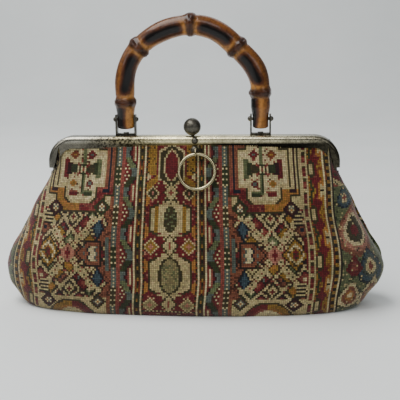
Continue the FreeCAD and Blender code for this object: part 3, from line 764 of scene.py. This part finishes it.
def paint_outer_border(chart):
    """Dotted stripe, scorched wave with ovals, and a dashed stripe between cream lines."""
    chart.band(73.0, 76.2, "cream")
    beads = (chart.u >= 73.8) & (chart.u < 75.6)
    chart.cycle(beads, chart.v / 1.5, ["crimson", "cream", "olive", "crimson", "rose"])
    field = (chart.u >= 76.2) & (chart.u < 84.5)
    chart.paint(field, "mustard")
    chart.fleck(field, 0.25, "rust")
    zigzag = field & (np.abs(chart.u - 77.4 - np.abs((chart.v % 8.0) - 4.0) * 0.4) < 0.7)
    chart.paint(zigzag, "moss")
    centre = 80.8 + 1.9 * np.cos(2.0 * math.pi * chart.v / 25.0)
    chart.paint(field & (np.abs(chart.u - centre) < 2.6), "crimson")
    chart.paint(field & (np.abs(chart.u - centre) < 1.1) & (np.floor(chart.v / 6.0) % 2 == 0), "rose")
    near = (chart.v + 12.5) % 25.0 - 12.5
    for u, shift, name, size in ((78.6, 12.5, "olive", 1.0), (83.2, 0.0, "ochre", 1.0)):
        offset = (chart.v - shift + 12.5) % 25.0 - 12.5
        oval = ((chart.u - u) / 2.0) ** 2 + (offset / 5.6) ** 2
        chart.paint(field & (oval < size), name)
        chart.paint(field & (oval < 0.35), "cream")
    chart.paint(field & (np.abs(near) < 0.6) & (chart.u > 82.6), "bark")
    chart.band(84.5, 85.8, "ivory")
    stripe = (chart.u >= 85.8) & (chart.u < 88.8)
    chart.cycle(stripe, chart.v / 5.0, ["rust", "olive", "brown"])
    chart.cycle(stripe & (np.abs(chart.u - 87.3) < 0.8), chart.v / 2.0, ["mustard", "bark"])
    chart.band(88.8, 90.0, "ivory")


def paint_boteh(chart, u, v, size, rings, lean):
    """Teardrop with a hooked tip, in nested colours."""
    du = (chart.u - u) - lean * np.maximum(0.0, v - chart.v) ** 2 * 0.03
    dv = chart.v - v
    taper = np.clip(1.0 + dv / (size * 2.2), 0.35, 1.2)
    reach = np.hypot(du / taper, dv * 0.78)
    for share, name in rings:
        chart.paint((reach < size * share) & (chart.u > 90.0), name)


def paint_side_field(chart):
    """Sage ground beyond the border, with teardrops, flowers and scallops."""
    outside = chart.u >= 90.0
    chart.paint(outside & (chart.v < 15.0 + (chart.u - 90.0) * 0.9), "cream")
    wedge = outside & (chart.v > 2.0 + (chart.u - 90.0) * 0.5) & (chart.v < 24.0)
    chart.cycle(wedge, (chart.v - (chart.u - 90.0) * 0.6) / 3.0, ["crimson", "crimson", "cream", "rose"])
    fleck = outside & (chart.v > 24) & (np.floor(chart.u * 0.5) % 3 == 0) & (np.floor(chart.v * 0.5) % 4 == 0)
    chart.paint(fleck, "moss")
    teardrop = [(1.0, "terracotta"), (0.80, "pink"), (0.62, "ivory"), (0.48, "olive"), (0.22, "crimson")]
    cool = [(1.0, "navy"), (0.86, "blue"), (0.62, "slate"), (0.42, "ivory"), (0.22, "rose")]
    scallop = [(1.0, "olive"), (0.92, "ivory"), (0.66, "terracotta"), (0.40, "ochre"), (0.20, "ivory")]
    for k in range(4):
        across = 33.0 * k
        paint_boteh(chart, 101.0 + across, 47.0, 11.0, teardrop, 0.6)
        paint_boteh(chart, 97.0 + across, 30.0, 4.6, cool, 0.0)
        paint_boteh(chart, 108.0 + across, 67.0, 8.0, cool, -0.4)
        paint_boteh(chart, 97.5 + across, 66.0, 4.2, [(1.0, "crimson"), (0.5, "rose")], 0.0)
        paint_boteh(chart, 111.0 + across, 84.0, 8.5, scallop, 0.0)
        paint_boteh(chart, 97.0 + across, 83.0, 6.5, scallop, 0.0)
        paint_boteh(chart, 116.0 + across, 34.0, 7.0, scallop, 0.0)
    chart.fleck(outside, 0.10, "moss")
    chart.fleck(outside & (chart.v > 20.0), 0.06, "cream")
    outline = outside & (chart.u < 90.8)
    chart.paint(outline, "bark")


def stitch_chart(columns, rows):
    """Palette index of every stitch."""
    chart = Chart(columns, rows)
    paint_hexagon_chain(chart)
    paint_ribbon(chart)
    paint_dots(chart, 28.4, ["slate", "moss", "slate", "olive"], 11.0)
    paint_motif_field(chart)
    paint_outer_border(chart)
    paint_side_field(chart)
    return chart.cells


# ---------------------------------------------------------------- needlepoint cloth

PITCH_MM = 1.7
PITCH_TOP_MM = 1.60
CHART_OFFSET_ST = 11.5
SKEW = 0.02
TOP_ROW_ST = -3.5
TOP_Z_MM = 160.5
STITCH_RISE_MM = 0.42
FADE = 0.22
DEPTH_OF_DYE = 1.28
# Painted light multiplied into the stitch colours: painted shade in the holes between stitches and on their edges,
# and a painted highlight on each stitch's crown.
PAINTED_GAP_SHADE = 0.30
PAINTED_EDGE_SHADE = 0.70
PAINTED_CROWN_HIGHLIGHT = 1.15


def cloth_grid(side, columns_st, seed):
    """Vertex grid of one face of the bag, two vertices to a stitch each way.

    Returns positions in mm, unit outward normals and a mask of vertices short of the side seam.
    """
    rows = profile_rows(PITCH_MM / 2.0, TOP_Z_MM)
    if len(rows) % 2 == 0:
        rows = rows[:-1]
    half = np.arange(-2 * columns_st, 2 * columns_st + 1) / 2.0
    points = np.zeros((len(rows), len(half), 3))
    short = np.zeros((len(rows), len(half)), dtype=bool)
    for j, z in enumerate(rows):
        x, y, length = quarter_curve(z)
        pitch = PITCH_TOP_MM + (PITCH_MM * 1.03 - PITCH_TOP_MM) * (1.0 - smoothstep(70.0, 155.0, z))
        column = half * pitch + SKEW * (TOP_Z_MM - z)
        short[j] = np.abs(column) < length[-1]
        reach = np.minimum(np.abs(column), length[-1])
        points[j, :, 0] = np.sign(column) * np.interp(reach, length, x)
        points[j, :, 1] = side * np.interp(reach, length, y)
        points[j, :, 2] = z
    across = np.gradient(points, axis=1)
    down = np.gradient(points, axis=0)
    normals = np.cross(across, down) * -side * -1.0
    size = np.linalg.norm(normals, axis=2, keepdims=True)
    normals = np.where(size > 1e-9, normals / np.maximum(size, 1e-9), 0.0)
    outward = np.sign(np.sum(normals * points * np.array([1.0, 1.0, 0.0]), axis=2, keepdims=True))
    normals = normals * np.where(outward == 0.0, 1.0, outward)
    normals[~short] = np.array([0.0, 0.0, 0.0])
    points += normals * drape(points[..., 0:1], points[..., 2:3], seed)
    return settle(points), normals, short


def stitch_relief(shape, rng):
    """Height of every vertex: a stitch's crown, its edges and the holes between stitches."""
    height = np.full(shape, -0.12)
    height[1::2, 1::2] = 1.0 + rng.uniform(-0.18, 0.18, height[1::2, 1::2].shape)
    height[0::2, 1::2] = 0.30
    height[1::2, 0::2] = 0.30
    return height * STITCH_RISE_MM


def needlepoint_sheet(name, side, columns_st, seed, material):
    """Front (side -1) or back (side 1) of the bag as one stitched cloth."""
    points, normals, short = cloth_grid(side, columns_st, seed)
    rng = np.random.default_rng(20 + seed)
    rows, cols = short.shape
    points = points + normals * stitch_relief(short.shape, rng)[..., None]
    stitch_v = TOP_ROW_ST + np.arange((rows - 1) // 2)
    stitch_u = np.arange(-columns_st, columns_st) + 0.5
    chart = stitch_chart(stitch_u * (-side) + CHART_OFFSET_ST, stitch_v + 0.5)
    colours = np.array([srgb(PALETTE[key])[:3] for key in NAMES])[chart]
    colours = FADE * colours.mean(axis=-1, keepdims=True) + (1.0 - FADE) * colours
    colours = 0.92 * colours ** DEPTH_OF_DYE
    colours *= rng.uniform(0.66, 1.24, chart.shape)[..., None]
    colours *= 1.0 + rng.uniform(-0.06, 0.06, colours.shape)

    index = np.arange(rows * cols).reshape(rows, cols)
    corners = np.stack([index[:-1, :-1], index[1:, :-1], index[1:, 1:], index[:-1, 1:]], axis=-1)
    if side > 0:
        corners = corners[..., ::-1]
    used = short.reshape(-1)[corners].any(axis=-1)
    faces = corners[used]
    row_of, col_of = np.nonzero(used)
    base = colours[row_of // 2, col_of // 2]
    odd = (np.arange(rows) % 2)[:, None] + (np.arange(cols) % 2)[None, :]
    # Painted shade in the holes and on the edges of every stitch, and a painted highlight on its crown.
    painted_light_table = np.array([PAINTED_GAP_SHADE, PAINTED_EDGE_SHADE, PAINTED_CROWN_HIGHLIGHT])
    shade = painted_light_table[odd].reshape(-1)[faces]
    corner_colours = np.ones((len(faces), 4, 4))
    corner_colours[..., :3] = base[:, None, :] * shade[..., None]

    keep, faces = np.unique(faces, return_inverse=True)
    faces = faces.reshape(-1, 4)
    mesh = bpy.data.meshes.new(name)
    mesh.vertices.add(len(keep))
    mesh.vertices.foreach_set("co", (points.reshape(-1, 3)[keep] * MM).ravel())
    mesh.loops.add(faces.size)
    mesh.loops.foreach_set("vertex_index", faces.ravel().astype(np.int32))
    mesh.polygons.add(len(faces))
    mesh.polygons.foreach_set("loop_start", np.arange(0, faces.size, 4, dtype=np.int32))
    mesh.polygons.foreach_set("loop_total", np.full(len(faces), 4, dtype=np.int32))
    mesh.update(calc_edges=True)
    layer = mesh.color_attributes.new("stitches", "FLOAT_COLOR", "CORNER")
    layer.data.foreach_set("color", corner_colours.ravel().astype(np.float32))
    mesh.validate()
    mesh.polygons.foreach_set("use_smooth", [True] * len(mesh.polygons))
    mesh.materials.append(material)
    return add_object(name, mesh)


def plain_band(name, side, inset, top_mm, bottom_mm, material, seed, step_mm=4.0):
    """A smooth cloth inside one face of the bag, such as its lining."""
    rows = np.arange(top_mm, bottom_mm - 0.1, -step_mm)
    turns = np.linspace(-1.0, 1.0, 91)
    points = []
    for z in rows:
        x, y, length = quarter_curve(z, inset)
        reach = np.abs(turns) * length[-1]
        points.append(np.stack([np.sign(turns) * np.interp(reach, length, x),
                                side * np.interp(reach, length, y),
                                np.full_like(turns, z)], axis=1))
    points = np.array(points)
    outward = np.stack([points[..., 0] / 150.0 ** 2, points[..., 1] / 42.0 ** 2,
                        np.zeros(points.shape[:2])], axis=-1)
    outward /= np.linalg.norm(outward, axis=-1, keepdims=True)
    points = points + outward * drape(points[..., 0:1], points[..., 2:3], seed)
    points[..., 1] -= side * 0.5 * np.abs(np.sin(points[..., 0] * 0.22))
    points = settle(points)
    cols = len(turns)
    faces = []
    for j in range(len(rows) - 1):
        for i in range(cols - 1):
            quad = [j * cols + i, (j + 1) * cols + i, (j + 1) * cols + i + 1, j * cols + i + 1]
            faces.append(quad if side > 0 else quad[::-1])
    return mesh_piece(name, points.reshape(-1, 3) * MM, faces, material)


def base_sheet(name, height_mm, grow_mm, material, thick_mm):
    """The flat bottom: rings of the lowest section drawn in to the middle."""
    x, y, _ = quarter_curve(0.0, -grow_mm)
    right = np.concatenate([x[::6], x[-1:]])
    depth = np.concatenate([y[::6], y[-1:]])
    ring = [(a, -b) for a, b in zip(right, depth)]
    ring += [(a, b) for a, b in zip(right[::-1][1:], depth[::-1][1:])]
    ring += [(-a, b) for a, b in zip(right[1:], depth[1:])]
    ring += [(-a, -b) for a, b in zip(right[::-1][1:-1], depth[::-1][1:-1])]
    shares = np.linspace(1.0, 0.0, 12)[:-1]
    points = [(a * s, b * s, height_mm) for s in shares for a, b in ring] + [(0.0, 0.0, height_mm)]
    vertices = settle(np.array(points)) * MM
    count = len(ring)
    faces = []
    for k in range(len(shares) - 1):
        for i in range(count):
            n = (i + 1) % count
            faces.append((k * count + n, k * count + i, (k + 1) * count + i, (k + 1) * count + n))
    last = (len(shares) - 1) * count
    faces += [(last + (i + 1) % count, last + i, len(vertices) - 1) for i in range(count)]
    piece = mesh_piece(name, vertices, faces, material)
    solid = piece.modifiers.new("thickness", "SOLIDIFY")
    solid.thickness = thick_mm * MM
    solid.offset = -1.0
    return piece


# ---------------------------------------------------------------- bamboo handle

HANDLE_HALF_MM = 62.6
HANDLE_FOOT_MM = 170.9
SHOULDER_Z_MM = 210.2
SHOULDER_R_MM = 50.0
SPRING_Z_MM = 205.0
DIP_SHARE = 0.095
SHOULDER_TURN = math.radians(50.0)
CANE_R_MM = 9.6
CANE_LEG_R_MM = 8.7
CANE_END_R_MM = 7.4
NODE_SHARES = [0.093, 0.298, 0.497, 0.687, 0.876]
NODE_RISE_MM = 1.9
NODE_HALF_MM = 4.4
AMBER = "7A4C20"
HONEY = "AC763A"
SCORCH = "070302"
UMBER = "502A14"


def shoulder_dip(x, z):
    """How far the bend of the cane's right shoulder falls short of the left one's."""
    turn = math.atan2(x, z - SPRING_Z_MM)
    return DIP_SHARE * math.exp(-((turn - 0.85) / 0.42) ** 2)


def handle_line(step_mm):
    """Points and directions along the middle of the cane, left foot to right foot."""
    centre_x = HANDLE_HALF_MM - SHOULDER_R_MM
    crown_r = SHOULDER_R_MM + centre_x / math.cos(SHOULDER_TURN)
    crown_z = SHOULDER_Z_MM - (crown_r - SHOULDER_R_MM) * math.sin(SHOULDER_TURN)
    leg = SHOULDER_Z_MM - HANDLE_FOOT_MM
    shoulder = SHOULDER_R_MM * SHOULDER_TURN
    crown = crown_r * (math.pi / 2.0 - SHOULDER_TURN)
    half = leg + shoulder + crown
    count = int(2.0 * half / step_mm)
    points = []
    for k in range(count + 1):
        along = 2.0 * half * k / count
        side = -1.0 if along <= half else 1.0
        s = along if along <= half else 2.0 * half - along
        if s <= leg:
            x, z = HANDLE_HALF_MM, HANDLE_FOOT_MM + s
        elif s <= leg + shoulder:
            turn = (s - leg) / SHOULDER_R_MM
            x = centre_x + SHOULDER_R_MM * math.cos(turn)
            z = SHOULDER_Z_MM + SHOULDER_R_MM * math.sin(turn)
        else:
            turn = SHOULDER_TURN + (s - leg - shoulder) / crown_r
            x = crown_r * math.cos(turn)
            z = crown_z + crown_r * math.sin(turn)
        dip = 1.0 - (shoulder_dip(x, z) if side > 0 else 0.0)
        points.append((side * x * dip, HANDLE_Y_MM, SPRING_Z_MM + (z - SPRING_Z_MM) * dip))
    return np.array(points), 2.0 * half


def cane_radius(share, total):
    """Cane thickness along its length: slim trimmed ends, waists and swollen nodes."""
    middle = math.sin(math.pi * share)
    radius = CANE_LEG_R_MM + (CANE_R_MM - CANE_LEG_R_MM) * middle
    end = min(share, 1.0 - share) * total
    if end < 20.0:
        radius = CANE_END_R_MM + (radius - CANE_END_R_MM) * float(smoothstep(9.0, 20.0, end))
    if end < 2.2:
        radius -= 2.2 - math.sqrt(max(0.0, 2.2 ** 2 - (2.2 - end) ** 2))
    for node in NODE_SHARES:
        gap = (share - node) * total
        ridge = math.exp(-((gap / NODE_HALF_MM) ** 2) * 1.6)
        groove = math.exp(-(((gap - 5.2) / 1.0) ** 2)) + 0.8 * math.exp(-((gap / 0.9) ** 2))
        radius += NODE_RISE_MM * ridge - 0.45 * groove
        radius -= 0.35 * math.exp(-((gap / 14.0) ** 2))
    return radius


def cane_colour(share, total, turn, node_gap):
    """Honey cane with a long scorched streak between the nodes and dark ticks round the outside."""
    outer = math.cos(turn)
    honey, amber, scorch, umber = (np.array(srgb(name)[:3]) for name in (HONEY, AMBER, SCORCH, UMBER))
    wander = 0.12 * math.sin(share * 23.0) + 0.06 * math.sin(share * 61.0)
    body = honey + (amber - honey) * float(smoothstep(-0.3, 0.7, outer))
    rim = float(smoothstep(0.45, 0.95, outer))
    ticks = max(0.0, math.sin(share * total * 2.4 + 0.8 * math.sin(share * 90.0))) ** 2
    colour = body + (umber - body) * rim * (0.45 + 0.5 * ticks)
    in_foot = share < NODE_SHARES[0] or share > NODE_SHARES[-1]
    centre = (0.45 if share < 0.5 else -0.9) if in_foot else -0.18
    reach = float(smoothstep(2.5, 6.0, node_gap)) if in_foot else float(smoothstep(3.0, 13.0, node_gap))
    streak = math.exp(-((abs(outer - centre - wander) / 0.62) ** 2)) * reach
    colour = colour + (umber - colour) * float(smoothstep(0.05, 0.45, streak))
    colour = colour + (scorch - colour) * float(smoothstep(0.35, 0.90, streak))
    dark = math.exp(-((node_gap / 4.6) ** 4))
    ridge = 0.35 * math.exp(-(((node_gap - 1.2) / 0.8) ** 2))
    node_colour = scorch + (umber - scorch) * (0.35 + ridge + 0.2 * math.sin(5.0 * turn))
    return colour + (node_colour - colour) * dark


def bamboo_handle(material):
    line, total = handle_line(0.8)
    around = 56
    count = len(line)
    tangents = np.gradient(line, axis=0)
    tangents /= np.linalg.norm(tangents, axis=1)[:, None]
    depth_axis = np.array([0.0, -1.0, 0.0])
    vertices = []
    colours = []
    for k in range(count):
        share = k / (count - 1)
        radius = cane_radius(share, total)
        outward = np.cross(depth_axis, tangents[k])
        if outward[2] * 1.0 + outward[0] * line[k][0] < 0.0:
            outward = -outward
        for a in range(around):
            turn = 2.0 * math.pi * a / around
            cell = min(abs(share - node) for node in NODE_SHARES) * total
            lobes = math.sin(turn * 5.0 + share * 40.0) + 0.6 * math.sin(turn * 3.0 + share * 70.0 + cell)
            knob = 0.55 * math.exp(-((cell / 3.6) ** 2)) * lobes
            oval = 1.0 + 0.03 * math.cos(2.0 * turn + share * 9.0)
            reach = radius * oval + knob + 0.12 * math.sin(share * 50.0 + turn * 2.0)
            direction = outward * math.cos(turn) + depth_axis * math.sin(turn)
            vertices.append((line[k] + direction * reach) * MM)
            colours.append(cane_colour(share, total, turn, cell))
    faces = []
    for k in range(count - 1):
        for a in range(around):
            b = (a + 1) % around
            faces.append((k * around + a, k * around + b, (k + 1) * around + b, (k + 1) * around + a))
    faces.append(tuple(range(around))[::-1])
    faces.append(tuple((count - 1) * around + a for a in range(around)))
    piece = mesh_piece("bamboo_cane", vertices, faces, material)
    layer = piece.data.color_attributes.new("scorch", "FLOAT_COLOR", "POINT")
    flat = np.ones((len(colours), 4), dtype=np.float32)
    flat[:, :3] = np.array(colours)
    layer.data.foreach_set("color", flat.ravel())
    return piece


# ---------------------------------------------------------------- assembly

def give_material(material, *nodes):
    """Puts a material on CAD nodes."""
    for node in nodes:
        obj = frame["nodes"][node]
        if not obj.material_slots:
            obj.data.materials.append(material)
        for slot in obj.material_slots:
            slot.material = material


def dress_hardware():
    nickel = aged_nickel_material()
    steel = dark_steel_material()
    pewter = pewter_ball_material()
    brass = ring_material()
    cord = paper_material("paper_cord", srgb("B9A47C"), srgb("8A744E"))
    give_material(nickel, "front_frame", "rear_frame", "hinge_rivet_left", "hinge_rivet_right", "catch_plate")
    give_material(steel, "bracket_left", "bracket_right", "bracket_rivet_left", "bracket_rivet_right",
                  "handle_pin_left", "handle_pin_right", "latch_seat", "latch_post",
                  "latch_pivot_pin", "latch_spring")
    give_material(pewter, "latch_ball", "catch_ball", "ring_boss")
    give_material(brass, "pull_ring", "ring_hanger")
    give_material(cord, "front_clamp_strip", "rear_clamp_strip")
    give_material(paper_material("board", srgb("7C6446"), srgb("5E4A32")), "base_board")


BASE_GROW_MM = 1.0
LINING_INSET_MM = 2.6
LINING_TOP_MM = 157.0
LINING_FOOT_MM = 5.5


def build_bag():
    wool = wool_material()
    front = needlepoint_sheet("needlepoint_front", -1, 122, 1, wool)
    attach(front, "bag_body")
    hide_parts("front_panel", "front_neck_panel", "left_gusset", "right_gusset")
    back = needlepoint_sheet("needlepoint_back", 1, 122, 2, wool)
    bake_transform(back)
    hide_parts("back_panel", "back_neck_panel")
    brown = cloth_material("base_cloth", srgb("4A3B27"), srgb("33281A"))
    base = base_sheet("needlepoint_base", 0.2, BASE_GROW_MM, brown, 1.6)
    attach(base, "bag_body")
    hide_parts("base_panel")


def build_lining():
    satin = cloth_material("lining_cloth", srgb("B79C6E"), srgb("8F7650"))
    front = plain_band("lining_front", -1, LINING_INSET_MM, LINING_TOP_MM, LINING_FOOT_MM, satin, 1)
    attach(front, "bag_body")
    back = plain_band("lining_back", 1, LINING_INSET_MM, LINING_TOP_MM, LINING_FOOT_MM, satin, 2)
    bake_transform(back)
    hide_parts("lining")


def build_handle():
    cane = bamboo_handle(bamboo_material())
    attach(cane, "handle")
    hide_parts("bamboo_handle")


make_camera()
make_lights()
make_floor(floor_material())
dress_hardware()
build_bag()
build_lining()
build_handle()
